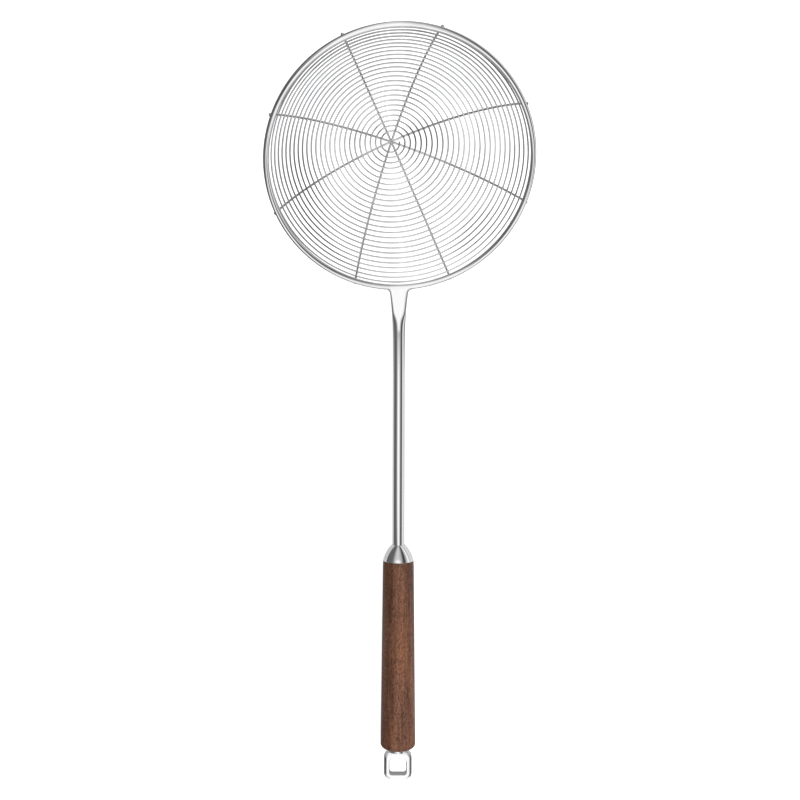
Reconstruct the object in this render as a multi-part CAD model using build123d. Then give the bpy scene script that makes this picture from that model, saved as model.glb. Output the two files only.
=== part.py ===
from build123d import *
import math
import os

# Spider skimmer: a round wire bowl on a tubular steel stem with a turned wooden grip.
# It lies on its back on a table, bowl up: +Z is up, the bowl is towards +Y and the
# hanging loop towards -Y. The origin is on the table, under the middle of the skimmer.
# Lengths are in millimetres and angles in degrees.

# Bowl
rim_outer_diameter = 165.0
rim_wire_diameter = 3.5
bowl_depth = 47.0
bowl_roll = 3.3
spiral_wire_diameter = 1.0
spiral_wire_sides = 12
spiral_turns = 26.1
spiral_inner_radius = 5.2
spiral_start_angle = 10.0
net_centre_shift = 3.0
spoke_wire_diameter = 1.3
spoke_angles = [(115.5, 295.8), (75.8, 251.4), (159.2, 344.9), (28.1, 202.2)]
spoke_run_past_rim = 0.3
spoke_crossing_step = 0.35
wire_clearance = 0.03
spot_weld_radius = 1.1
end_weld_radius = 1.3

# Neck, where the stem's pressed end is welded to the rim
weld_length = 3.0
weld_thickness = 3.0
pressed_width = 11.6
pressed_thickness = 3.2
pressed_length = 29.0

# Stem tube and its plug
stem_diameter = 8.0
stem_wall = 0.8
stem_exposed_length = 163.6
stem_length_in_grip = 30.0
plug_clearance = 0.02
plug_length_in_tube = 12.0
plug_head_length = 2.0
plug_thread_depth = 10.0

# Ferrule
ferrule_length = 10.8
ferrule_wall = 1.0
ferrule_base_slope = 12.0
ferrule_stem_clearance = 0.1
ferrule_lip_radius = 0.5
braze_length = 1.6
braze_width = 1.2

# Wooden grip
grip_length = 121.3
grip_front_diameter = 20.2
grip_butt_diameter = 22.8
grip_butt_fillet = 2.2
grip_spigot_length = 4.5
grip_spigot_clearance = 0.15
grip_bore_clearance = 0.15

# Tie rod, end collar and hanging loop
rod_diameter = 4.0
rod_clearance = 0.05
rod_in_plug = 8.0
rod_in_sleeve = 10.0
rod_hole_clearance = 0.5
collar_diameter = 13.4
collar_thickness = 2.8
collar_edge = 0.4
sleeve_diameter = 7.0
sleeve_length = 14.0
sleeve_thread_depth = 12.0
sleeve_clearance = 0.1
loop_width = 18.1
loop_length = 18.3
loop_thickness = 6.0
loop_corner_radius = 4.6
eye_width = 10.9
eye_length = 10.2
eye_corner_radius = 1.9
loop_end_bar = 3.2
loop_bevel_width = 1.6
loop_bevel_depth = 0.5
eye_edge_fillet = 0.4

# Length by which a cut runs past the faces that it opens
overrun = 1.0

# Sizes worked out from the ones above
rim_radius = (rim_outer_diameter - rim_wire_diameter) / 2
rim_wire_radius = rim_wire_diameter / 2
spiral_wire_radius = spiral_wire_diameter / 2
spoke_wire_radius = spoke_wire_diameter / 2
stem_radius = stem_diameter / 2
bore_radius = stem_radius - stem_wall
ferrule_radius = grip_front_diameter / 2
butt_radius = grip_butt_diameter / 2

# The net's wires lie on balls about one centre, on the rim's axis above its plane.
# The spokes pass under the rim, and the spiral lies on the spokes.
rim_to_spoke = rim_wire_radius + spoke_wire_radius + wire_clearance
spoke_to_spiral = spoke_wire_radius + spiral_wire_radius + wire_clearance
rim_to_spiral = rim_wire_radius + spiral_wire_radius + wire_clearance
under_rim = rim_to_spoke - spoke_to_spiral
centre_height = (rim_radius**2 - (bowl_depth - under_rim) ** 2) / (2 * (bowl_depth - under_rim))
rim_distance = math.hypot(rim_radius, centre_height)
spoke_ball = rim_distance + rim_to_spoke
spiral_ball = rim_distance + under_rim
rim_polar_angle = math.atan2(rim_radius, centre_height)

# The spiral runs out until its wire rests against the rim.
rim_gap_cosine = (rim_distance**2 + spiral_ball**2 - rim_to_spiral**2) / (
    2 * rim_distance * spiral_ball
)
spiral_first_polar = spiral_inner_radius / spiral_ball
spiral_last_polar = rim_polar_angle - math.acos(rim_gap_cosine)

# Places along the handle, from the stem's pressed end at 0 towards the loop
ferrule_top_radius = stem_radius + ferrule_stem_clearance
grip_front = -(stem_exposed_length + ferrule_length)
grip_butt = grip_front - grip_length
stem_back = grip_front - stem_length_in_grip
collar_back = grip_butt - collar_thickness
loop_back = collar_back - loop_length
rim_at_neck = weld_length + rim_wire_radius


def neck_turn(tilt):
    """Angle along the rim from its nearest point to the one above the stem's axis."""
    return math.atan(math.sin(tilt) * math.tan(math.radians(bowl_roll)))


def rim_height(tilt):
    """Height of the rim's centre for a rim that meets the stem's axis at the neck."""
    turn = neck_turn(tilt)
    roll = math.radians(bowl_roll)
    share = math.sin(turn) * math.sin(roll) + math.cos(turn) * math.sin(tilt) * math.cos(roll)
    return rim_radius * share


def bowl_bottom(tilt):
    """Height of the bowl's underside for one tilt, from the stem's axis."""
    roll = math.radians(bowl_roll)
    centre = rim_height(tilt) + centre_height * math.cos(tilt) * math.cos(roll)
    return centre - spiral_ball - spiral_wire_radius


def level_tilt():
    """Tilt at which bowl and grip rest on one table with the stem level."""
    low = 0.0
    high = math.atan2(rim_radius, centre_height)
    for step in range(60):
        middle = (low + high) / 2
        if bowl_bottom(middle) < -butt_radius:
            low = middle
        else:
            high = middle
    return (low + high) / 2


bowl_tilt = level_tilt()
bowl_centre_y = rim_at_neck + rim_radius * math.cos(neck_turn(bowl_tilt)) * math.cos(bowl_tilt)
bowl_place = (
    Pos(0, bowl_centre_y, rim_height(bowl_tilt))
    * Rot(0, bowl_roll, 0)
    * Rot(math.degrees(bowl_tilt), 0, 0)
)


def on_ball(ball, polar, azimuth, lean):
    """Point of a ball about the net's centre, leaned so that the pole moves to -X."""
    x = ball * math.sin(polar) * math.cos(azimuth)
    y = ball * math.sin(polar) * math.sin(azimuth)
    z = -ball * math.cos(polar)
    leaned_x = x * math.cos(lean) + z * math.sin(lean)
    leaned_z = z * math.cos(lean) - x * math.sin(lean)
    return Vector(leaned_x, y, leaned_z + centre_height)


def spiral_point(turns):
    """Point of the spiral's centre line after so many turns from its inner end."""
    polar_per_turn = (spiral_last_polar - spiral_first_polar) / spiral_turns
    polar = spiral_first_polar + polar_per_turn * turns
    azimuth = math.radians(spiral_start_angle) - 2 * math.pi * turns
    lean = net_centre_shift / spiral_ball * (1 - (polar / spiral_last_polar) ** 2)
    return on_ball(spiral_ball, polar, azimuth, lean)


def spiral_direction(turns):
    """Unit tangent of the spiral's centre line."""
    step_share = 0.001
    return (spiral_point(turns + step_share) - spiral_point(turns - step_share)).normalized()


def arc_between(start, corner, end):
    """Arc from start to end, whose tangents at both ends meet in the corner."""
    chord_middle = (start + end) / 2
    half_chord = (end - start).length / 2
    rise = (corner - chord_middle).length
    half_turn = math.atan2(rise, half_chord)
    sagitta = half_chord * math.tan(half_turn / 2)
    crown = chord_middle + (corner - chord_middle).normalized() * sagitta
    return ThreePointArc(start, crown, end)


def biarc(start, start_direction, end, end_direction):
    """Two arcs that leave start and reach end along the directions given."""
    span = end - start
    both = start_direction + end_direction
    a = 2 * (1 - start_direction.dot(end_direction))
    b = 2 * span.dot(both)
    reach = 2 * span.dot(span) / (b + math.sqrt(b * b + 4 * a * span.dot(span)))
    first_corner = start + start_direction * reach
    last_corner = end - end_direction * reach
    join = (first_corner + last_corner) / 2
    return [arc_between(start, first_corner, join), arc_between(join, last_corner, end)]


def spiral_wire():
    quarters = math.ceil(4 * spiral_turns)
    stops = [spiral_turns * k / quarters for k in range(quarters + 1)]
    edges = []
    for first, last in zip(stops[:-1], stops[1:]):
        edges += biarc(
            spiral_point(first), spiral_direction(first), spiral_point(last), spiral_direction(last)
        )
    mouth = Plane(origin=spiral_point(0), z_dir=spiral_direction(0))
    section = mouth * RegularPolygon(spiral_wire_radius, spiral_wire_sides)
    return sweep(section, path=Wire(edges))


def spiral_gap():
    """Least gap between neighbouring turns of the spiral wire."""
    per_turn = 48
    points = [spiral_point(k / per_turn) for k in range(int(spiral_turns * per_turn) + 1)]
    gaps = []
    for k, point in enumerate(points):
        near = points[k + per_turn // 2 : k + 3 * per_turn // 2]
        gaps += [(point - other).length for other in near]
    return min(gaps) - spiral_wire_diameter


def rim_ring():
    return Torus(rim_radius, rim_wire_radius)


def spoke_wire(number):
    """Spoke through the bowl's pole, sunk by its place in the stack of crossing wires."""
    polar = rim_polar_angle + spoke_run_past_rim / spoke_ball
    first, last = [
        on_ball(spoke_ball, polar, math.radians(angle), 0) for angle in spoke_angles[number]
    ]
    lean = net_centre_shift / spoke_ball
    pole = on_ball(spoke_ball + number * spoke_crossing_step, 0, 0, lean)
    path = ThreePointArc(first, pole, last)
    mouth = Plane(origin=first, z_dir=path.tangent_at(0))
    return sweep(mouth * Circle(spoke_wire_radius), path=path)


def pressed_spokes():
    """The four spokes, each with the wires that lie above it pressed into its crossing."""
    whole = [spoke_wire(number) for number in range(len(spoke_angles))]
    pressed = [whole[0]]
    for number in range(1, len(whole)):
        wire = whole[number]
        for above in whole[:number]:
            wire = wire - above
        pressed.append(wire)
    return pressed


def spoke_welds(ring, spokes):
    """A bead in the crease between each end of the spokes and the rim."""
    beads = []
    for number, angles in enumerate(spoke_angles):
        for angle in angles:
            place = on_ball(
                rim_distance + rim_wire_radius, rim_polar_angle, math.radians(angle), 0
            )
            bead = Pos(place.X, place.Y, place.Z) * Sphere(spot_weld_radius)
            beads.append(bead - ring - spokes[number])
    return beads


def spiral_end_weld(ring, spiral):
    place = spiral_point(spiral_turns)
    bead = Pos(place.X, place.Y, place.Z) * Sphere(end_weld_radius)
    return bead - spiral - ring


def neck_weld(ring):
    """Fillet of weld metal between the stem's pressed end and the rim."""
    narrow = pressed_width / 2
    wide = narrow + weld_length
    outline = [
        Line((-narrow, 0), (narrow, 0)),
        RadiusArc((narrow, 0), (wide, weld_length), weld_length),
        Line((wide, weld_length), (wide, rim_at_neck)),
        Line((wide, rim_at_neck), (-wide, rim_at_neck)),
        Line((-wide, rim_at_neck), (-wide, weld_length)),
        RadiusArc((-wide, weld_length), (-narrow, 0), weld_length),
    ]
    plate = extrude(make_face(outline), weld_thickness / 2, both=True)
    return plate - ring


def pressed_end(inset):
    """Stem's pressed end, or its hollow when inset by the tube's wall."""
    section_shares = [0, 1 / 3, 2 / 3, 1]
    sections = []
    for share in section_shares:
        half_width = stem_radius + (pressed_width / 2 - stem_radius) * (1 - share) ** 2
        place = Plane.XZ.offset(share * pressed_length)
        sections.append(place * Ellipse(half_width - inset, stem_radius - inset))
    swollen = loft(sections)
    thin = pressed_thickness / 2 - inset
    thick = stem_radius - inset
    wedge = Polyline(
        (0, thin),
        (-pressed_length, thick),
        (-pressed_length, -thick),
        (0, -thin),
        close=True,
    )
    side = Plane(origin=(0, 0, 0), x_dir=(0, 1, 0), z_dir=(1, 0, 0))
    return swollen & extrude(side * make_face(wedge), pressed_width, both=True)


def rod_along_handle(radius, front, back):
    """Cylinder about the handle's axis between two places along it."""
    return Plane.XZ.offset(-front) * extrude(Circle(radius), front - back)


def stem_tube():
    outside = rod_along_handle(stem_radius, -pressed_length, stem_back)
    bore = rod_along_handle(bore_radius, -pressed_length, stem_back - overrun)
    return (pressed_end(0) - pressed_end(stem_wall)) + (outside - bore)


def stem_plug():
    body_front = stem_back + plug_length_in_tube
    body = rod_along_handle(bore_radius - plug_clearance, body_front, stem_back)
    head_back = stem_back - plug_head_length
    head = rod_along_handle(stem_radius, stem_back, head_back)
    thread_front = head_back + plug_thread_depth
    thread = rod_along_handle(rod_diameter / 2 + rod_clearance, thread_front, head_back - overrun)
    return body + head - thread


def dome_turn_radius(inset):
    """Radius of the arc that is turned into the dome, or into its hollow."""
    height = ferrule_length - inset
    narrowing = ferrule_radius - inset - ferrule_top_radius
    slope = math.radians(ferrule_base_slope)
    bulge = narrowing * math.cos(slope) - height * math.sin(slope)
    return (narrowing**2 + height**2) / (2 * bulge)


def dome_arc(inset):
    """Turned arc from the dome's base, sloped there, up to the stem's hole."""
    radius = dome_turn_radius(inset)
    slope = math.radians(ferrule_base_slope)
    centre = ferrule_radius - inset - radius * math.cos(slope)
    behind_base = radius * math.sin(slope)
    top_turn = math.degrees(math.asin((ferrule_length - inset + behind_base) / radius))
    return CenterArc(
        (centre, grip_front - behind_base),
        radius,
        start_angle=ferrule_base_slope,
        arc_size=top_turn - ferrule_base_slope,
    )


def dome_width(inset, height):
    """Distance from the axis to the dome, or to its hollow, at a height above its base."""
    radius = dome_turn_radius(inset)
    slope = math.radians(ferrule_base_slope)
    centre = ferrule_radius - inset - radius * math.cos(slope)
    return centre + math.sqrt(radius**2 - (height + radius * math.sin(slope)) ** 2)


def ferrule():
    outer_top = grip_front + ferrule_length
    hollow_radius = ferrule_radius - ferrule_wall
    outline = [
        dome_arc(0),
        Line((ferrule_top_radius, outer_top), (ferrule_top_radius, outer_top - ferrule_wall)),
        dome_arc(ferrule_wall),
        Line((hollow_radius, grip_front), (ferrule_radius, grip_front)),
    ]
    body = revolve(make_face(outline), axis=Axis.Y)
    lip = body.faces().sort_by(Axis.Y)[0].outer_wire().edges()
    return fillet(lip, ferrule_lip_radius)


def ferrule_braze():
    """Ring of braze that holds the ferrule to the stem, under the top of its hollow."""
    top = grip_front + ferrule_length - ferrule_wall
    hollow_radius = ferrule_radius - ferrule_wall
    hollow = make_face(
        [
            dome_arc(ferrule_wall),
            Line((ferrule_top_radius, top), (0, top)),
            Line((0, top), (0, grip_front)),
            Line((0, grip_front), (hollow_radius, grip_front)),
        ]
    )
    middle = Pos(stem_radius + braze_width / 2, top - braze_length / 2)
    section = hollow & middle * Rectangle(braze_width, braze_length)
    return revolve(section, axis=Axis.Y)


def wood_grip():
    """Turned grip, with a tapered spigot that fills the mouth of the ferrule."""
    hollow_radius = ferrule_radius - ferrule_wall
    spigot_front = grip_front + grip_spigot_length
    spigot_end_radius = dome_width(ferrule_wall, grip_spigot_length) - grip_spigot_clearance
    outline = Polyline(
        (0, spigot_front),
        (spigot_end_radius, spigot_front),
        (hollow_radius - grip_spigot_clearance, grip_front),
        (ferrule_radius, grip_front),
        (butt_radius, grip_butt),
        (0, grip_butt),
        close=True,
    )
    body = revolve(make_face(outline), axis=Axis.Y)
    butt_edge = body.faces().sort_by(Axis.Y)[0].edges()
    body = fillet(butt_edge, grip_butt_fillet)
    stem_hole_back = stem_back - plug_head_length - grip_bore_clearance
    stem_hole_radius = stem_radius + grip_bore_clearance
    stem_hole = rod_along_handle(stem_hole_radius, spigot_front + overrun, stem_hole_back)
    rod_hole_radius = rod_diameter / 2 + rod_hole_clearance
    rod_hole = rod_along_handle(rod_hole_radius, stem_hole_back + overrun, grip_butt - overrun)
    sleeve_radius = sleeve_diameter / 2 + sleeve_clearance
    sleeve_front = collar_back + sleeve_length + grip_bore_clearance
    sleeve_hole = rod_along_handle(sleeve_radius, sleeve_front, grip_butt - overrun)
    return body - stem_hole - rod_hole - sleeve_hole


def tie_rod():
    front = stem_back - plug_head_length + rod_in_plug
    back = collar_back + sleeve_length - rod_in_sleeve
    return rod_along_handle(rod_diameter / 2, front, back)


def end_collar():
    disc = rod_along_handle(collar_diameter / 2, grip_butt, collar_back)
    disc = chamfer(disc.faces().sort_by(Axis.Y)[0].edges(), collar_edge)
    hole_radius = sleeve_diameter / 2 + sleeve_clearance
    return disc - rod_along_handle(hole_radius, grip_butt + overrun, collar_back - overrun)


def hang_loop():
    middle_y = (collar_back + loop_back) / 2
    frame_sketch = Pos(0, middle_y) * RectangleRounded(loop_width, loop_length, loop_corner_radius)
    frame = extrude(frame_sketch, loop_thickness / 2, both=True)
    for face in (frame.faces().sort_by(Axis.Z)[0], frame.faces().sort_by(Axis.Z)[-1]):
        frame = chamfer(face.edges(), loop_bevel_width, loop_bevel_depth, reference=face)
    eye_y = loop_back + loop_end_bar + eye_length / 2
    eye_sketch = Pos(0, eye_y) * RectangleRounded(eye_width, eye_length, eye_corner_radius)
    frame = frame - extrude(eye_sketch, loop_thickness, both=True)
    eye_edges = frame.faces().sort_by(Axis.Z)[0].inner_wires()[0].edges()
    eye_edges += frame.faces().sort_by(Axis.Z)[-1].inner_wires()[0].edges()
    frame = fillet(eye_edges, eye_edge_fillet)
    sleeve_front = collar_back + sleeve_length
    sleeve = rod_along_handle(sleeve_diameter / 2, sleeve_front, collar_back)
    thread_back = sleeve_front - sleeve_thread_depth
    thread_radius = rod_diameter / 2 + rod_clearance
    thread = rod_along_handle(thread_radius, sleeve_front + overrun, thread_back)
    return frame + sleeve - thread


def pieces():
    """Every piece by its name, in the handle's frame."""
    ring = rim_ring()
    spiral = spiral_wire()
    spokes = pressed_spokes()
    bowl = {"rim_ring": ring, "spiral_wire": spiral}
    for number, wire in enumerate(spokes):
        bowl[f"spoke_wire_{number + 1}"] = wire
    bowl["spoke_welds"] = Compound(spoke_welds(ring, spokes))
    bowl["spiral_end_weld"] = spiral_end_weld(ring, spiral)
    placed = {name: bowl_place * piece for name, piece in bowl.items()}
    placed["neck_weld"] = neck_weld(placed["rim_ring"])
    placed["stem_tube"] = stem_tube()
    placed["stem_plug"] = stem_plug()
    placed["ferrule"] = ferrule()
    placed["ferrule_braze"] = ferrule_braze()
    placed["wood_grip"] = wood_grip()
    placed["tie_rod"] = tie_rod()
    placed["end_collar"] = end_collar()
    placed["hang_loop"] = hang_loop()
    return placed


placed = pieces()
boxes = [piece.bounding_box() for piece in placed.values()]
middle_x = (min(box.min.X for box in boxes) + max(box.max.X for box in boxes)) / 2
middle_y = (min(box.min.Y for box in boxes) + max(box.max.Y for box in boxes)) / 2
table = min(box.min.Z for box in boxes)
onto_table = Pos(-middle_x, -middle_y, -table)

os.makedirs("parts", exist_ok=True)
for name, piece in placed.items():
    export_step(onto_table * piece, f"parts/{name}.step")

print("bowl tilt", round(math.degrees(bowl_tilt), 2), "degrees")
print("least gap between turns of the spiral", round(spiral_gap(), 2), "mm")
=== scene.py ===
import math
import bmesh
import bpy
from mathutils import Matrix, Vector


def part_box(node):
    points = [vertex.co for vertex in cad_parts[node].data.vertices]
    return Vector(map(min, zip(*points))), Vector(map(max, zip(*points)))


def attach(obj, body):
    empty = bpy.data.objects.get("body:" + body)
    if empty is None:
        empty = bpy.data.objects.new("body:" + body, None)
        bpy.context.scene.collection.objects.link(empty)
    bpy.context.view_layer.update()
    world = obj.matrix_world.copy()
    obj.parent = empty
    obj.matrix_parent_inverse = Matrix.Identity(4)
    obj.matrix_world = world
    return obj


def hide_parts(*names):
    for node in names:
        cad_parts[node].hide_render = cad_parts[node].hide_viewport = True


# Spider skimmer on its back, bowl up. Metres, +Z up, +Y towards the bowl.
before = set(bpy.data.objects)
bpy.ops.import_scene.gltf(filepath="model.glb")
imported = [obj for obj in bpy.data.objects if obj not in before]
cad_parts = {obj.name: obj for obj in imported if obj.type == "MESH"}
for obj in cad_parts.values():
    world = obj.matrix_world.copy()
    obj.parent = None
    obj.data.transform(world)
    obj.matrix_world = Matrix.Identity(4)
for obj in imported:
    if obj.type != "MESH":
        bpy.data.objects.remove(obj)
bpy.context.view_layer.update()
mm = 0.001

# Sizes of the bowl; the wires are given by their radii
rim_radius = 80.75 * mm
rim_wire = 1.75 * mm
net_wire = 0.5 * mm
spoke_wire = 0.65 * mm
bowl_depth = 47.0 * mm
bowl_roll = math.radians(3.3)
bowl_tilt = math.radians(32.921)
wire_clearance = 0.03 * mm
spiral_turns = 26.1
spiral_inner_radius = 5.2 * mm
spiral_start_angle = math.radians(10.0)
net_centre_shift = 3.0 * mm
spoke_angles = [(115.5, 295.8), (75.8, 251.4), (159.2, 344.9), (28.1, 202.2)]
spoke_run_past_rim = 0.3 * mm
spoke_crossing_step = 0.35 * mm
spoke_end_rounding = 0.2 * mm

# Sizes of the stem and its weld to the rim
weld_length = 3.0 * mm
weld_overlap = 0.02 * mm
flare_past_weld = 0.45 * mm
flare_return_slope = 1.2
pressed_width = 11.6 * mm
pressed_thickness = 3.2 * mm
pressed_length = 29.0 * mm
stem_radius = 4.0 * mm

# Sizes of the ferrule
ferrule_base_radius = 10.1 * mm
ferrule_base_slope = math.radians(12.0)
ferrule_stem_clearance = 0.1 * mm
ferrule_lip = 0.45 * mm
ferrule_lip_inset = 1.1 * ferrule_lip
ferrule_foot_width = 1.0 * mm
ferrule_tip_setback = 0.2 * mm
ferrule_tip_depth = 0.8 * mm

# Sizes of the grip; a cap is the plain middle of a flat end, given by its radius
grip_butt_radius = 11.4 * mm
grip_butt_fillet = 2.2 * mm
grip_spigot_length = 2.0 * mm
grip_spigot_inset = 1.2 * mm
grip_spigot_cap = 6.0 * mm
grip_front_rounding = 0.35 * mm
grip_front_inset = 0.1 * mm
grip_butt_cap = 5.0 * mm

# Sizes of the collar and the hanging loop
collar_edge = 0.4 * mm
collar_front_cap = 4.0 * mm
collar_back_cap = 3.0 * mm
loop_width = 18.1 * mm
loop_thickness = 6.0 * mm
loop_corner_radius = 4.6 * mm
loop_end_bar = 3.2 * mm
loop_bevel_width = 1.6 * mm
loop_bevel_depth = 0.5 * mm
loop_edge_rounding = 0.35 * mm
eye_width = 10.9 * mm
eye_length = 10.2 * mm
eye_corner_radius = 1.9 * mm

# Places read from the solids
stem_low, stem_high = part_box("stem_tube")
grip_low, grip_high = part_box("wood_grip")
ferrule_low, ferrule_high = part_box("ferrule")
collar_low, collar_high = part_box("end_collar")
loop_low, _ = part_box("hang_loop")
axis_x = (stem_low.x + stem_high.x) / 2
axis_z = (stem_low.z + stem_high.z) / 2
stem_front = stem_high.y

# The net's wires lie on balls about one centre, on the rim's axis above its plane.
under_rim = rim_wire - net_wire
centre_height = (rim_radius**2 - (bowl_depth - under_rim) ** 2) / (2 * (bowl_depth - under_rim))
rim_distance = math.hypot(rim_radius, centre_height)
spoke_ball = rim_distance + rim_wire + spoke_wire + wire_clearance
spiral_ball = rim_distance + under_rim
rim_polar_angle = math.atan2(rim_radius, centre_height)
rim_gap = rim_wire + net_wire + wire_clearance
rim_gap_cosine = (rim_distance**2 + spiral_ball**2 - rim_gap**2) / (2 * rim_distance * spiral_ball)
spiral_first_polar = spiral_inner_radius / spiral_ball
spiral_last_polar = rim_polar_angle - math.acos(rim_gap_cosine)

# The rim's lowest point lies in front of the stem's pressed end, the weld between them.
neck_turn = math.atan(math.sin(bowl_tilt) * math.tan(bowl_roll))
rim_height = rim_radius * (
    math.sin(neck_turn) * math.sin(bowl_roll)
    + math.cos(neck_turn) * math.sin(bowl_tilt) * math.cos(bowl_roll)
)
rim_forward = weld_length + rim_wire + rim_radius * math.cos(neck_turn) * math.cos(bowl_tilt)
bowl_place = (
    Matrix.Translation((axis_x, stem_front + rim_forward, axis_z + rim_height))
    @ Matrix.Rotation(bowl_roll, 4, "Y")
    @ Matrix.Rotation(bowl_tilt, 4, "X")
)

# The pressed part thickens evenly up to this share of its length, then eases into the tube.
pressed_bend_share = 0.6
pressed_slope = 2 / (1 + pressed_bend_share)
pressed_easing = (pressed_slope - 1) / (1 - pressed_bend_share) ** 2

# Limits used while modelling
merge_distance = 0.002 * mm
upright_cosine = 0.9


def deselect_all():
    if bpy.context.object and bpy.context.object.mode != "OBJECT":
        bpy.ops.object.mode_set(mode="OBJECT")
    bpy.ops.object.select_all(action="DESELECT")


def pick(kind, wanted):
    """Selects the vertices, edges or faces of the open mesh that are wanted."""
    mesh = bmesh.from_edit_mesh(bpy.context.object.data)
    parts = {"VERT": mesh.verts, "EDGE": mesh.edges, "FACE": mesh.faces}
    bpy.ops.mesh.select_mode(type=kind)
    bpy.ops.mesh.select_all(action="DESELECT")
    for part in parts[kind]:
        if wanted(part):
            part.select_set(True)
    mesh.select_flush_mode()
    bmesh.update_edit_mesh(bpy.context.object.data)


def tidy_normals():
    bpy.ops.mesh.select_all(action="SELECT")
    bpy.ops.mesh.remove_doubles(threshold=merge_distance)
    bpy.ops.mesh.normals_make_consistent(inside=False)


def settle(piece, name, smooth_angle=35.0):
    """Names a finished piece, smooths it and puts its place into its mesh."""
    deselect_all()
    bpy.context.view_layer.objects.active = piece
    piece.select_set(True)
    piece.name = name
    bpy.ops.object.transform_apply(location=True, rotation=True, scale=True)
    bpy.ops.object.shade_smooth_by_angle(angle=math.radians(smooth_angle))
    deselect_all()
    return piece


def dress(piece, slot, material, *nodes):
    """Gives a piece its material, hides the solids that it stands for and hangs it under the root body.
    """
    piece.data.materials.clear()
    piece.data.materials.append(material)
    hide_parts(*nodes)
    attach(piece, "root")


def on_ball(ball, polar, azimuth, lean):
    """Point of a ball about the net's centre, leaned so that the pole moves to -X."""
    x = ball * math.sin(polar) * math.cos(azimuth)
    y = ball * math.sin(polar) * math.sin(azimuth)
    z = -ball * math.cos(polar)
    leaned_x = x * math.cos(lean) + z * math.sin(lean)
    leaned_z = z * math.cos(lean) - x * math.sin(lean)
    return bowl_place @ Vector((leaned_x, y, leaned_z + centre_height))


def make_rim():
    """Rim ring, spun from the wire's round section."""
    deselect_all()
    bpy.ops.mesh.primitive_circle_add(
        vertices=28, radius=rim_wire, location=(rim_radius, 0, 0), rotation=(math.pi / 2, 0, 0)
    )
    rim = bpy.context.object
    bpy.ops.object.transform_apply(location=True, rotation=True, scale=True)
    bpy.ops.object.mode_set(mode="EDIT")
    bpy.ops.mesh.select_all(action="SELECT")
    bpy.ops.mesh.spin(steps=300, angle=math.tau, center=(0, 0, 0), axis=(0, 0, 1))
    tidy_normals()
    bpy.ops.object.mode_set(mode="OBJECT")
    rim.matrix_world = bowl_place
    return settle(rim, "rim")


def spiral_point(turns):
    """Point of the net wire's centre line, so many turns from its inner end."""
    polar_per_turn = (spiral_last_polar - spiral_first_polar) / spiral_turns
    polar = spiral_first_polar + polar_per_turn * turns
    azimuth = spiral_start_angle - math.tau * turns
    lean = net_centre_shift / spiral_ball * (1 - (polar / spiral_last_polar) ** 2)
    return on_ball(spiral_ball, polar, azimuth, lean)


def make_spiral():
    """Net wire with narrowed ends, in steps of one length and no more than a small turn."""
    step_length = 2.4 * mm
    largest_step = 1 / 20
    end_radius_share = 0.8
    stops = [0.0]
    while stops[-1] < spiral_turns:
        share = stops[-1] / spiral_turns
        radius = spiral_inner_radius + (rim_radius - spiral_inner_radius) * share
        stops.append(stops[-1] + min(largest_step, step_length / (math.tau * radius)))
    stops[-1] = spiral_turns
    curve = bpy.data.curves.new("net_spiral", "CURVE")
    curve.dimensions = "3D"
    curve.bevel_depth = net_wire
    curve.bevel_resolution = 2
    curve.use_fill_caps = True
    spline = curve.splines.new("POLY")
    spline.points.add(len(stops) - 1)
    for turns, point in zip(stops, spline.points):
        point.co = (*spiral_point(turns), 1.0)
    spline.points[0].radius = end_radius_share
    spline.points[-1].radius = end_radius_share
    wire = bpy.data.objects.new("net_spiral", curve)
    bpy.context.collection.objects.link(wire)
    deselect_all()
    bpy.context.view_layer.objects.active = wire
    wire.select_set(True)
    bpy.ops.object.convert(target="MESH")
    return settle(bpy.context.object, "net_spiral")


def spoke_arc(number):
    """First end, middle and last end of a spoke's centre line."""
    polar = rim_polar_angle + spoke_run_past_rim / spoke_ball
    first, last = [
        on_ball(spoke_ball, polar, math.radians(angle), 0) for angle in spoke_angles[number]
    ]
    lean = net_centre_shift / spoke_ball
    middle = on_ball(spoke_ball + number * spoke_crossing_step, 0, 0, lean)
    return first, middle, last


def circle_through(first, middle, last):
    """Centre, axis and turn of the arc through three points."""
    a = middle - first
    b = last - first
    axis = a.cross(b)
    centre = first + (b.length_squared * axis.cross(a) + a.length_squared * b.cross(axis)) / (
        2 * axis.length_squared
    )
    turn = 2 * (math.pi - (first - middle).angle(last - middle))
    return centre, axis.normalized(), turn


def make_spoke(number):
    """Spoke, spun from its round section about the centre of its arc."""
    sides = 16
    first, middle, last = spoke_arc(number)
    centre, axis, turn = circle_through(first, middle, last)
    along = axis.cross(first - centre).normalized()
    facing = Vector((0, 0, 1)).rotation_difference(along).to_euler()
    deselect_all()
    bpy.ops.mesh.primitive_circle_add(
        vertices=sides, radius=spoke_wire, fill_type="NGON", location=first, rotation=facing
    )
    spoke = bpy.context.object
    bpy.ops.object.transform_apply(location=True, rotation=True, scale=True)
    bpy.ops.object.mode_set(mode="EDIT")
    bpy.ops.mesh.select_all(action="SELECT")
    bpy.ops.mesh.spin(steps=90, angle=-turn, center=centre, axis=axis)
    tidy_normals()
    pick("FACE", lambda face: len(face.verts) == sides)
    bpy.ops.mesh.bevel(offset=spoke_end_rounding, segments=3, affect="EDGES")
    bpy.ops.object.mode_set(mode="OBJECT")
    return settle(spoke, f"spoke_{number + 1}")


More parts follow.
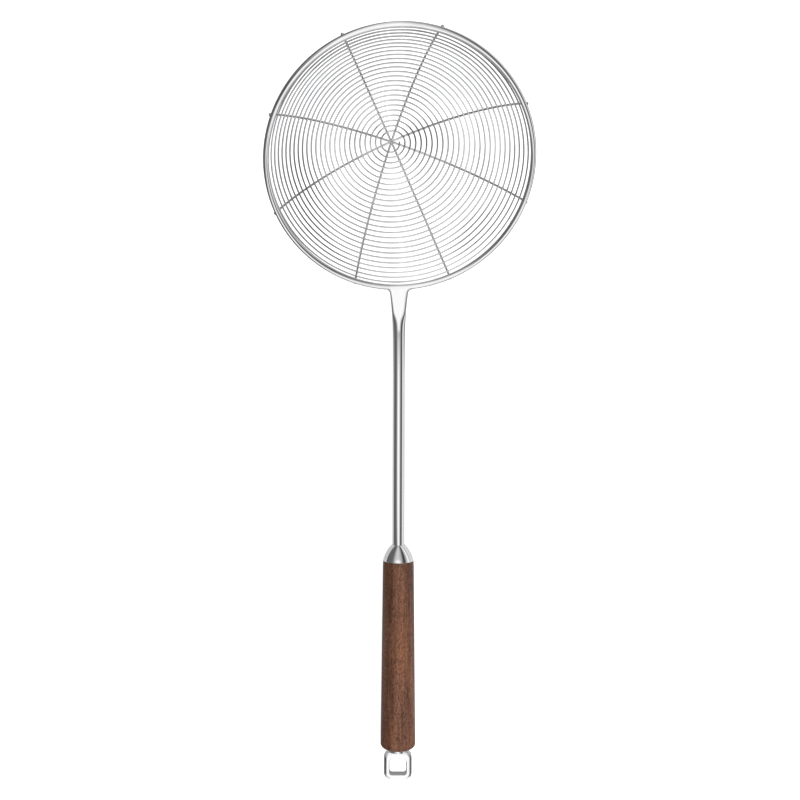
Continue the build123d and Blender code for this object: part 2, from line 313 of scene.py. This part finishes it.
def through_rings(rings, sides):
    """Closed body about the handle's axis, from (half width, half height, place along Y)."""
    deselect_all()
    width, height, y = rings[0]
    bpy.ops.mesh.primitive_circle_add(
        vertices=sides, radius=width, location=(axis_x, y, axis_z), rotation=(math.pi / 2, 0, 0)
    )
    body = bpy.context.object
    bpy.ops.object.mode_set(mode="EDIT")
    bpy.ops.mesh.select_all(action="SELECT")
    bpy.ops.transform.resize(value=(1, 1, height / width), center_override=(axis_x, y, axis_z))
    bpy.ops.mesh.edge_face_add()
    bpy.ops.mesh.select_all(action="SELECT")
    for next_width, next_height, next_y in rings[1:]:
        bpy.ops.mesh.extrude_region_move(TRANSFORM_OT_translate={"value": (0, next_y - y, 0)})
        bpy.ops.transform.resize(
            value=(next_width / width, 1, next_height / height),
            center_override=(axis_x, next_y, axis_z),
        )
        width, height, y = next_width, next_height, next_y
    tidy_normals()
    bpy.ops.object.mode_set(mode="OBJECT")
    return body


def turned(name, rings, sides):
    """Lathe work about the handle's axis, from (radius, place along Y) ring by ring."""
    return settle(through_rings([(radius, radius, y) for radius, y in rings], sides), name)


def pressed_squareness(y):
    """How squared off the stem is: flat with round edges in front, round further back.

    It is the power of the oval's outline, and 2 leaves a round one as it is."""
    round_power, flat_power = 2.0, 5.5
    change_share, change_length_share = 0.48, 0.05
    largest_exponent = 50.0
    share = (stem_front - y) / pressed_length
    exponent = min((share - change_share) / change_length_share, largest_exponent)
    return round_power + (flat_power - round_power) / (1 + math.exp(exponent))


def pressed_work(name, rings):
    """Body about the handle's axis, its ovals squared off where the stem is pressed."""
    body = through_rings(rings, 96)
    bpy.ops.object.transform_apply(location=True, rotation=True, scale=True)
    for vertex in body.data.vertices:
        width, height, y = min(rings, key=lambda ring: abs(ring[2] - vertex.co.y))
        power = 2 / pressed_squareness(y)
        side = (vertex.co.x - axis_x) / width
        rise = (vertex.co.z - axis_z) / height
        vertex.co.x = axis_x + width * math.copysign(abs(side) ** power, side)
        vertex.co.z = axis_z + height * math.copysign(abs(rise) ** power, rise)
    return settle(body, name, 50.0)


def make_stem():
    """Stem tube, widened and pressed into a flat oval at its front end."""
    steps = 26
    rings = []
    for step in range(steps + 1):
        share = step / steps
        width = stem_radius + (pressed_width / 2 - stem_radius) * (1 - share) ** 2
        rise = pressed_slope * share - pressed_easing * max(share - pressed_bend_share, 0.0) ** 2
        height = pressed_thickness / 2 + (stem_radius - pressed_thickness / 2) * rise
        rings.append((width, height, stem_front - pressed_length * share))
    rings.append((stem_radius, stem_radius, ferrule_low.y))
    return pressed_work("stem", rings)


def make_neck_weld():
    """Weld metal that widens from the stem's flat end into the rim with round corners."""
    steps = 16
    reach = weld_length + rim_wire
    flare_length = weld_length + flare_past_weld
    slope = pressed_slope * (stem_radius - pressed_thickness / 2) / pressed_length
    rings = [(pressed_width / 2, pressed_thickness / 2, stem_front - weld_overlap)]
    for step in range(1, steps + 1):
        forward = reach * step / steps
        drop = min(forward / flare_length, 1.0)
        width = pressed_width / 2 + weld_length * (1 - math.sqrt(1 - drop**2))
        width -= flare_return_slope * max(forward - flare_length, 0.0)
        height = pressed_thickness / 2 - slope * forward
        rings.append((width, height, stem_front + forward))
    return pressed_work("neck_weld", rings)


def make_ferrule():
    """Turned dome from the wood up to the stem, with a small lip at its base."""
    lip_steps, dome_steps = 6, 24
    base, front = ferrule_base_radius, ferrule_low.y
    height = ferrule_high.y - front
    narrowing = base - stem_radius - ferrule_stem_clearance
    bulge = narrowing * math.cos(ferrule_base_slope) - height * math.sin(ferrule_base_slope)
    radius = (narrowing**2 + height**2) / (2 * bulge)
    centre = base - radius * math.cos(ferrule_base_slope)
    behind = front - radius * math.sin(ferrule_base_slope)
    lip_foot = base - ferrule_lip_inset
    rings = [(base - ferrule_foot_width, front), (lip_foot, front)]
    first = math.asin((front + ferrule_lip - behind) / radius)
    lip_reach = centre + radius * math.cos(first) - lip_foot
    for step in range(1, lip_steps):
        turn = math.pi / 2 * step / lip_steps
        rings.append(
            (lip_foot + lip_reach * math.sin(turn), front + ferrule_lip * (1 - math.cos(turn)))
        )
    last = math.asin((ferrule_high.y - ferrule_tip_setback - behind) / radius)
    for step in range(dome_steps + 1):
        turn = first + (last - first) * step / dome_steps
        rings.append((centre + radius * math.cos(turn), behind + radius * math.sin(turn)))
    rings.append((stem_radius + ferrule_stem_clearance, ferrule_high.y - ferrule_tip_depth))
    return turned("ferrule_dome", rings, 128)


def make_grip():
    """Turned grip, from inside the ferrule to its rounded butt."""
    taper_steps, butt_steps = 40, 10
    front_radius = ferrule_base_radius
    spigot_radius = front_radius - grip_spigot_inset
    front, butt = ferrule_low.y, grip_low.y
    length = front - butt
    taper_length = length - grip_butt_fillet - grip_front_rounding
    rings = [
        (grip_spigot_cap, front + grip_spigot_length),
        (spigot_radius, front + grip_spigot_length),
        (spigot_radius, front),
        (front_radius - grip_front_rounding, front),
        (front_radius - grip_front_inset, front - grip_front_inset),
    ]
    for step in range(1, taper_steps + 1):
        y = front - grip_front_rounding - taper_length * step / taper_steps
        radius = front_radius + (grip_butt_radius - front_radius) * (front - y) / length
        rings.append((radius, y))
    for step in range(1, butt_steps + 1):
        turn = math.pi / 2 * step / butt_steps
        rings.append(
            (
                radius - grip_butt_fillet * (1 - math.cos(turn)),
                butt + grip_butt_fillet * (1 - math.sin(turn)),
            )
        )
    rings.append((grip_butt_cap, butt))
    return turned("grip", rings, 128)


def make_collar():
    """Turned disc between the wood and the loop, its back edge rounded."""
    rounding_share = 0.3
    radius = collar_high.x - axis_x
    front, back = collar_high.y, collar_low.y
    rings = [
        (collar_front_cap, front),
        (radius - collar_edge / 2, front),
        (radius, front - collar_edge / 2),
        (radius, back + collar_edge),
        (radius - collar_edge * rounding_share, back + collar_edge * rounding_share),
        (radius - collar_edge, back),
        (collar_back_cap, back),
    ]
    return turned("butt_collar", rings, 96)


def is_upright(edge):
    along = (edge.verts[0].co - edge.verts[1].co).normalized()
    return abs(along.z) > upright_cosine


def rounded_block(size, corner_radius, place):
    """Block with its four upright edges rounded, left in edit mode."""
    deselect_all()
    bpy.ops.mesh.primitive_cube_add(size=1, location=place)
    block = bpy.context.object
    block.scale = size
    bpy.ops.object.transform_apply(location=False, rotation=False, scale=True)
    bpy.ops.object.mode_set(mode="EDIT")
    pick("EDGE", is_upright)
    bpy.ops.mesh.bevel(offset=corner_radius, segments=14, affect="EDGES")
    return block


def sink_edge(block, side):
    """Sinks the outer edge of a block's upper or lower face, which was inset before."""
    quad_sides = 4
    flat_height = loop_thickness / 2 - merge_distance
    inner = {
        vertex.index
        for face in bmesh.from_edit_mesh(block.data).faces
        if face.normal.z * side > upright_cosine and len(face.verts) > quad_sides
        for vertex in face.verts
    }
    pick("VERT", lambda vertex: vertex.co.z * side > flat_height and vertex.index not in inner)
    bpy.ops.transform.translate(value=(0, 0, -side * loop_bevel_depth))


def make_loop():
    """Cast hanging loop: a rounded square with a sunk edge and a rounded square eye."""
    front, back = collar_low.y, loop_low.y
    loop = rounded_block(
        (loop_width, front - back, loop_thickness),
        loop_corner_radius,
        (axis_x, (front + back) / 2, axis_z),
    )
    pick("FACE", lambda face: abs(face.normal.z) > upright_cosine)
    bpy.ops.mesh.inset(thickness=loop_bevel_width, use_boundary=True)
    for side in (1, -1):
        sink_edge(loop, side)
    bpy.ops.object.mode_set(mode="OBJECT")
    eye = rounded_block(
        (eye_width, eye_length, 3 * loop_thickness),
        eye_corner_radius,
        (axis_x, back + loop_end_bar + eye_length / 2, axis_z),
    )
    deselect_all()
    bpy.context.view_layer.objects.active = loop
    loop.select_set(True)
    cut = loop.modifiers.new("eye", "BOOLEAN")
    cut.operation = "DIFFERENCE"
    cut.object = eye
    cut.solver = "EXACT"
    soften = loop.modifiers.new("edges", "BEVEL")
    soften.width = loop_edge_rounding
    soften.segments = 4
    soften.limit_method = "ANGLE"
    soften.angle_limit = math.radians(14)
    for modifier in list(loop.modifiers):
        bpy.ops.object.modifier_apply(modifier=modifier.name)
    bpy.data.objects.remove(eye)
    return settle(loop, "hang_loop_eye", 30.0)


def link(tree, out_socket, in_socket):
    tree.links.new(out_socket, in_socket)


def math_node(tree, operation, first, second=None, third=None, clamp=False):
    """Math node; each operand is a socket or a number."""
    node = tree.nodes.new("ShaderNodeMath")
    node.operation = operation
    node.use_clamp = clamp
    for socket, value in zip(node.inputs, (first, second, third)):
        if value is None:
            continue
        if isinstance(value, (int, float)):
            socket.default_value = value
        else:
            link(tree, value, socket)
    return node.outputs[0]


def noise(tree, vector, scale, detail=2.0, roughness=0.5, distortion=0.0):
    node = tree.nodes.new("ShaderNodeTexNoise")
    node.inputs["Detail"].default_value = detail
    node.inputs["Roughness"].default_value = roughness
    node.inputs["Distortion"].default_value = distortion
    link(tree, vector, node.inputs["Vector"])
    if isinstance(scale, (int, float)):
        node.inputs["Scale"].default_value = scale
    else:
        link(tree, scale, node.inputs["Scale"])
    return node.outputs["Fac"]


def stretched(tree, vector, scale):
    """Vector squeezed or stretched along the three axes."""
    node = tree.nodes.new("ShaderNodeMapping")
    node.inputs["Scale"].default_value = scale
    link(tree, vector, node.inputs["Vector"])
    return node.outputs["Vector"]


def ramp(tree, factor, stops):
    """Colour ramp from (place, colour) stops; a colour may be one grey level."""
    node = tree.nodes.new("ShaderNodeValToRGB")
    while len(node.color_ramp.elements) < len(stops):
        node.color_ramp.elements.new(0.5)
    for element, (place, colour) in zip(node.color_ramp.elements, stops):
        element.position = place
        if isinstance(colour, (int, float)):
            colour = (colour, colour, colour)
        element.color = (*colour, 1.0)
    link(tree, factor, node.inputs["Fac"])
    return node.outputs["Color"]


def degree_ramp(tree, factor, full_span, stops):
    """Grey ramp from (degrees, level) stops over a factor that is 0.5 at no degrees."""
    return ramp(tree, factor, [(0.5 + degrees / full_span, level) for degrees, level in stops])


def blend_colours(tree, factor, first, second, mode="MIX"):
    """Mixed colours; the factor is a socket or a number, a colour a socket or three numbers."""
    node = tree.nodes.new("ShaderNodeMix")
    node.data_type = "RGBA"
    node.blend_type = mode
    for socket, value in zip((node.inputs[0], node.inputs[6], node.inputs[7]), (factor, first, second)):
        if isinstance(value, (int, float)):
            socket.default_value = value
        elif isinstance(value, tuple):
            socket.default_value = (*value, 1.0)
        else:
            link(tree, value, socket)
    return node.outputs[2]


def multiplied(tree, first, second):
    return blend_colours(tree, 1.0, first, second, "MULTIPLY")


def split_place(tree, place):
    """The three coordinates of a place."""
    node = tree.nodes.new("ShaderNodeSeparateXYZ")
    link(tree, place, node.inputs[0])
    return node.outputs


def add_relief(tree, shader, height, strength, depth):
    relief = tree.nodes.new("ShaderNodeBump")
    relief.inputs["Strength"].default_value = strength
    relief.inputs["Distance"].default_value = depth
    link(tree, height, relief.inputs["Height"])
    link(tree, relief.outputs["Normal"], shader.inputs["Normal"])


def new_material(name):
    """Material with its node tree and its shader."""
    material = bpy.data.materials.new(name)
    material.use_nodes = True
    return material, material.node_tree, material.node_tree.nodes["Principled BSDF"]


def make_polish_group():
    """Fine polishing lines and soft smudges of worked steel."""
    group = bpy.data.node_groups.new("polished_steel_surface", "ShaderNodeTree")
    for label, kind in (
        ("Vector", "NodeSocketVector"),
        ("Line Scale", "NodeSocketFloat"),
        ("Smudge Scale", "NodeSocketFloat"),
    ):
        group.interface.new_socket(label, in_out="INPUT", socket_type=kind)
    for label in ("Lines", "Smudges"):
        group.interface.new_socket(label, in_out="OUTPUT", socket_type="NodeSocketFloat")
    given = group.nodes.new("NodeGroupInput").outputs
    made = group.nodes.new("NodeGroupOutput").inputs
    lines = noise(group, given["Vector"], given["Line Scale"], detail=4.0, roughness=0.65)
    smudges = noise(group, given["Vector"], given["Smudge Scale"], detail=5.0, distortion=0.6)
    link(group, lines, made["Lines"])
    link(group, smudges, made["Smudges"])
    return group


polish_group = make_polish_group()


def steel(name, colour, dark_colour, smooth, rough, line_scale, stretch, relief):
    """Worked steel: its colour, roughness and fine lines vary over the surface."""
    lines_in_a_smudge = 12
    least_roughness = 0.03
    material, tree, shader = new_material(name)
    shader.inputs["Metallic"].default_value = 1.0
    place = tree.nodes.new("ShaderNodeTexCoord").outputs["Object"]
    surface = tree.nodes.new("ShaderNodeGroup")
    surface.node_tree = polish_group
    link(tree, stretched(tree, place, stretch), surface.inputs["Vector"])
    surface.inputs["Line Scale"].default_value = line_scale
    surface.inputs["Smudge Scale"].default_value = line_scale / lines_in_a_smudge
    lines, smudges = surface.outputs["Lines"], surface.outputs["Smudges"]
    link(tree, ramp(tree, smudges, [(0.3, dark_colour), (0.6, colour)]), shader.inputs["Base Color"])
    spread = math_node(tree, "ADD", math_node(tree, "MULTIPLY", lines, 0.5), smudges)
    span = rough - smooth
    level = math_node(tree, "MULTIPLY_ADD", spread, span, smooth - span / 4)
    link(tree, math_node(tree, "MAXIMUM", level, least_roughness), shader.inputs["Roughness"])
    add_relief(tree, shader, lines, strength=relief, depth=0.02 * mm)
    return material


def make_walnut():
    """Oiled walnut with fine straight grain along the handle and short dark pores."""
    dark = (0.074, 0.032, 0.019)
    middle = (0.150, 0.062, 0.035)
    light = (0.245, 0.112, 0.064)
    orange = (0.250, 0.092, 0.038)
    # Width across the grip over which the painted shade runs
    painted_shade_span = 25.0 * mm
    material, tree, shader = new_material("walnut")
    place = tree.nodes.new("ShaderNodeTexCoord").outputs["Object"]
    x, y, _ = split_place(tree, place)
    streaks = noise(
        tree, stretched(tree, place, (1, 0.05, 1)), 520.0, detail=6.0, roughness=0.6, distortion=0.3
    )
    bands = noise(tree, stretched(tree, place, (1, 0.06, 1)), 150.0, detail=3.0, distortion=0.5)
    flecks = noise(tree, stretched(tree, place, (1, 0.16, 1)), 1900.0)
    speckle = noise(tree, stretched(tree, place, (1, 0.5, 1)), 1300.0, detail=3.0, roughness=0.7)
    grain = ramp(tree, streaks, [(0.30, dark), (0.50, middle), (0.70, light)])
    wood = blend_colours(tree, ramp(tree, bands, [(0.45, 0.0), (0.68, 0.75)]), grain, orange)
    wood = multiplied(tree, wood, ramp(tree, flecks, [(0.34, 0.42), (0.44, 1.0)]))
    wood = multiplied(tree, wood, ramp(tree, speckle, [(0.34, 0.50), (0.50, 1.0), (0.66, 1.55)]))
    # Painted shade across the grip: darker on the left, lightest just right of the middle, a little
    # darker on the right. The wood is also darker towards the ferrule and lighter towards the butt
    across = math_node(tree, "MULTIPLY_ADD", x, 1 / painted_shade_span, 0.5, clamp=True)
    painted_shade_stops = [(0.12, 0.62), (0.30, 0.78), (0.52, 1.0), (0.75, 0.92), (0.9, 0.86)]
    wood = multiplied(tree, wood, ramp(tree, across, painted_shade_stops))
    from_butt = math_node(tree, "SUBTRACT", y, grip_low.y)
    from_butt = math_node(tree, "DIVIDE", from_butt, grip_high.y - grip_low.y, clamp=True)
    wood = multiplied(tree, wood, ramp(tree, from_butt, [(0.0, 1.12), (0.5, 1.03), (1.0, 0.80)]))
    link(tree, wood, shader.inputs["Base Color"])
    link(tree, ramp(tree, streaks, [(0.3, 0.62), (0.7, 0.44)]), shader.inputs["Roughness"])
    shader.inputs["Specular IOR Level"].default_value = 0.4
    pore_height = math_node(tree, "MULTIPLY", flecks, 0.7)
    height = math_node(tree, "ADD", pore_height, math_node(tree, "MULTIPLY", streaks, 0.5))
    add_relief(tree, shader, height, strength=0.35, depth=0.12 * mm)
    return material


def make_floor():
    """White table; polished metal sees a painted reflection in it instead, a glow lighter by the handle
    than by the bowl.
    """
    floor_size = 6.0
    shaded_width = 0.4
    lift_for_camera = 0.8
    deselect_all()
    bpy.ops.mesh.primitive_plane_add(size=floor_size, location=(0, 0, 0))
    floor = bpy.context.object
    floor.name = "floor"
    material, tree, shader = new_material("white_table")
    shader.inputs["Base Color"].default_value = (0.6, 0.6, 0.6, 1)
    shader.inputs["Roughness"].default_value = 0.9
    shader.inputs["Specular IOR Level"].default_value = 0.1
    shader.inputs["Emission Color"].default_value = (1, 1, 1, 1)
    path = tree.nodes.new("ShaderNodeLightPath")
    lift = math_node(tree, "MULTIPLY", path.outputs["Is Camera Ray"], lift_for_camera)
    link(tree, lift, shader.inputs["Emission Strength"])
    x, y, _ = split_place(tree, tree.nodes.new("ShaderNodeTexCoord").outputs["Object"])
    across = math_node(tree, "MULTIPLY_ADD", x, 1 / shaded_width, 0.5, clamp=True)
    along = math_node(tree, "ADD", y, 0.5, clamp=True)
    # Painted reflection levels: dark far to the left, darker behind the handle's end and darker under
    # the bowl, as painted shade on the table
    handle_stops = [(0.22, 0.05), (0.32, 0.65), (0.5, 0.65), (0.56, 0.8), (0.68, 0.8), (0.78, 0.6)]
    bowl_stops = [(0.26, 0.12), (0.32, 0.28), (0.68, 0.30), (0.78, 0.40)]
    by_handle = ramp(tree, across, handle_stops)
    by_handle = multiplied(tree, by_handle, ramp(tree, along, [(0.28, 0.40), (0.30, 1.0)]))
    by_bowl = ramp(tree, across, bowl_stops)
    near_bowl = ramp(tree, along, [(0.535, 0.0), (0.575, 1.0)])
    # To glossy rays the table glows with this painted reflection instead of its lit colour
    mirrored = tree.nodes.new("ShaderNodeEmission")
    link(tree, blend_colours(tree, near_bowl, by_handle, by_bowl), mirrored.inputs["Color"])
    both = tree.nodes.new("ShaderNodeMixShader")
    link(tree, path.outputs["Is Glossy Ray"], both.inputs[0])
    link(tree, shader.outputs[0], both.inputs[1])
    link(tree, mirrored.outputs[0], both.inputs[2])
    link(tree, both.outputs[0], tree.nodes["Material Output"].inputs["Surface"])
    floor.data.materials.append(material)


# What polished metal sees of the room. Degrees across are from straight up, towards +X.
# Degrees along are from straight across the handle, towards the bowl.
room_strips = (
    (-180, 0.42), (-134, 0.48), (-117, 0.40), (-100, 0.20), (-88, 0.13), (-64, 0.11),
    (-44, 0.16), (-33, 0.40), (-24, 0.70), (-14, 1.0), (6, 1.0), (13, 0.78),
    (22, 0.50), (32, 0.21), (42, 0.04), (52, 0.05), (62, 0.32), (73, 0.66),
    (85, 1.0), (99, 1.0), (115, 0.78), (134, 0.46), (180, 0.42),
)
fade_along_room = ((1, 1.0), (4, 0.5), (7, 0.5), (10, 1.0), (20, 1.0), (28, 0.62), (90, 0.62))
faded_across_room = ((-30, 0.0), (-20, 1.0), (16, 1.0), (26, 0.0))

# Patches away from the bowl: across from and to, along from and to, soft edge, share, level
room_patches = (
    (-46, -16, -27, -13, 5, 0.90, 0.0),
    (-70, 70, -80, -52, 7, 0.80, 1.0),
    (-24, -9, -55, -43, 4, 0.60, 0.0),
)
all_round, half_round = 360, 180


def patch_mask(tree, across, along, left, right, low, high, soft):
    """Mask of one patch of the room, in degrees across and along the handle."""
    masks = []
    for factor, span, start, end in (
        (across, all_round, left, right),
        (along, half_round, low, high),
    ):
        stops = ((start - soft, 0.0), (start, 1.0), (end, 1.0), (end + soft, 0.0))
        masks.append(degree_ramp(tree, factor, span, stops))
    return math_node(tree, "MULTIPLY", *masks)


def seen_by_metal(tree):
    """Colour of the room in polished metal: strips along the handle, with some patches."""
    direction = tree.nodes.new("ShaderNodeTexCoord").outputs["Generated"]
    x, y, z = split_place(tree, direction)
    across = math_node(tree, "ARCTAN2", x, z)
    across = math_node(tree, "MULTIPLY_ADD", across, 0.5 / math.pi, 0.5)
    along = math_node(tree, "ARCSINE", y)
    along = math_node(tree, "MULTIPLY_ADD", along, 1 / math.pi, 0.5)
    strips = degree_ramp(tree, across, all_round, room_strips)
    fade = degree_ramp(tree, along, half_round, fade_along_room)
    overhead = degree_ramp(tree, across, all_round, faded_across_room)
    faded = math_node(tree, "MULTIPLY", strips, fade)
    room = blend_colours(tree, overhead, strips, faded)
    for *edges, share, level in room_patches:
        patch = patch_mask(tree, across, along, *edges)
        patch = math_node(tree, "MULTIPLY", patch, share)
        room = blend_colours(tree, patch, room, (level, level, level))
    return room


def make_world():
    """White room, dim as a light; polished metal sees long strips in it over the handle."""
    world = bpy.data.worlds.new("studio")
    bpy.context.scene.world = world
    world.use_nodes = True
    tree = world.node_tree
    tree.nodes.clear()
    path = tree.nodes.new("ShaderNodeLightPath")
    light, mirrored, backdrop = [tree.nodes.new("ShaderNodeBackground") for _ in range(3)]
    for background, strength in ((light, 0.34), (mirrored, 1.15), (backdrop, 1.0)):
        background.inputs["Color"].default_value = (1, 1, 1, 1)
        background.inputs["Strength"].default_value = strength
    link(tree, seen_by_metal(tree), mirrored.inputs["Color"])
    shiny = math_node(
        tree, "ADD", path.outputs["Is Glossy Ray"], path.outputs["Is Transmission Ray"], clamp=True
    )
    shown = light.outputs[0]
    for ray, background in ((shiny, mirrored), (path.outputs["Is Camera Ray"], backdrop)):
        mix = tree.nodes.new("ShaderNodeMixShader")
        link(tree, ray, mix.inputs[0])
        link(tree, shown, mix.inputs[1])
        link(tree, background.outputs[0], mix.inputs[2])
        shown = mix.outputs[0]
    link(tree, shown, tree.nodes.new("ShaderNodeOutputWorld").inputs["Surface"])


def make_lamp(name, place, size, power):
    """Large soft lamp, turned to the table's middle and unseen by polished metal."""
    data = bpy.data.lights.new(name, "AREA")
    data.shape = "DISK"
    data.size = size
    data.energy = power
    lamp = bpy.data.objects.new(name, data)
    bpy.context.collection.objects.link(lamp)
    lamp.location = place
    lamp.rotation_euler = (-Vector(place)).to_track_quat("-Z", "Y").to_euler()
    lamp.visible_glossy = False


def make_camera():
    """Camera above the skimmer, beside the picture's middle, its lens shifted back to it."""
    picture_width = 800
    focal_pixels = 870.0
    pixel_size = 0.655 * mm
    middle_before_stem_front = 69.15 * mm
    middle_right_of_axis = 0.76 * mm
    aside_x, aside_y = -8.6 * mm, 8.0 * mm
    turn = math.radians(0.153)
    sensor_width = 36.0
    data = bpy.data.cameras.new("camera")
    data.sensor_width = sensor_width
    data.lens = sensor_width * focal_pixels / picture_width
    data.shift_x = -aside_x / (pixel_size * picture_width)
    data.shift_y = -aside_y / (pixel_size * picture_width)
    camera = bpy.data.objects.new("camera", data)
    bpy.context.collection.objects.link(camera)
    camera.location = (
        axis_x + middle_right_of_axis + aside_x,
        stem_front - middle_before_stem_front + aside_y,
        axis_z + focal_pixels * pixel_size,
    )
    camera.rotation_euler = (0, 0, turn)
    bpy.context.scene.camera = camera


bright = (0.86, 0.86, 0.87)
fairly_bright = (0.80, 0.80, 0.81)
evenly = (1, 1, 1)
along_handle = (1, 0.03, 1)
round_handle = (0.3, 1, 0.3)

stem_steel = steel(
    "stem_steel", bright, fairly_bright,
    smooth=0.06, rough=0.13, line_scale=900.0, stretch=along_handle, relief=0.08,
)
ferrule_steel = steel(
    "ferrule_steel", bright, fairly_bright,
    smooth=0.08, rough=0.16, line_scale=900.0, stretch=round_handle, relief=0.08,
)
rim_steel = steel(
    "rim_steel", bright, (0.78, 0.78, 0.79),
    smooth=0.03, rough=0.09, line_scale=700.0, stretch=evenly, relief=0.04,
)
net_steel = steel(
    "net_steel", fairly_bright, (0.68, 0.68, 0.69),
    smooth=0.10, rough=0.20, line_scale=900.0, stretch=evenly, relief=0.10,
)
weld_steel = steel(
    "weld_steel", (0.76, 0.75, 0.74), (0.55, 0.53, 0.50),
    smooth=0.20, rough=0.40, line_scale=1500.0, stretch=evenly, relief=0.30,
)
cast_steel = steel(
    "cast_steel", (0.93, 0.93, 0.94), (0.88, 0.88, 0.90),
    smooth=0.17, rough=0.27, line_scale=1100.0, stretch=evenly, relief=0.08,
)
walnut = make_walnut()

dress(make_rim(), "rim_steel", rim_steel, "rim_ring")
dress(make_spiral(), "net_steel", net_steel, "spiral_wire")
for number in range(len(spoke_angles)):
    dress(make_spoke(number), "spoke_steel", net_steel, f"spoke_wire_{number + 1}")
dress(make_neck_weld(), "stem_steel", stem_steel, "neck_weld")
dress(make_stem(), "stem_steel", stem_steel, "stem_tube")
dress(make_ferrule(), "ferrule_steel", ferrule_steel, "ferrule")
dress(make_grip(), "walnut", walnut, "wood_grip")
dress(make_collar(), "loop_steel", cast_steel, "end_collar")
dress(make_loop(), "loop_steel", cast_steel, "hang_loop")
for node in ("spoke_welds", "spiral_end_weld", "stem_plug", "tie_rod", "ferrule_braze"):
    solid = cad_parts[node]
    solid.data.materials.clear()
    solid.data.materials.append(weld_steel)

make_floor()
make_world()
make_lamp("ceiling", (0.35, 0.0, 1.6), size=1.4, power=21.0)
make_lamp("side", (1.4, -0.3, 0.9), size=1.2, power=3.0)
make_camera()
bpy.context.scene.view_settings.view_transform = "Standard"
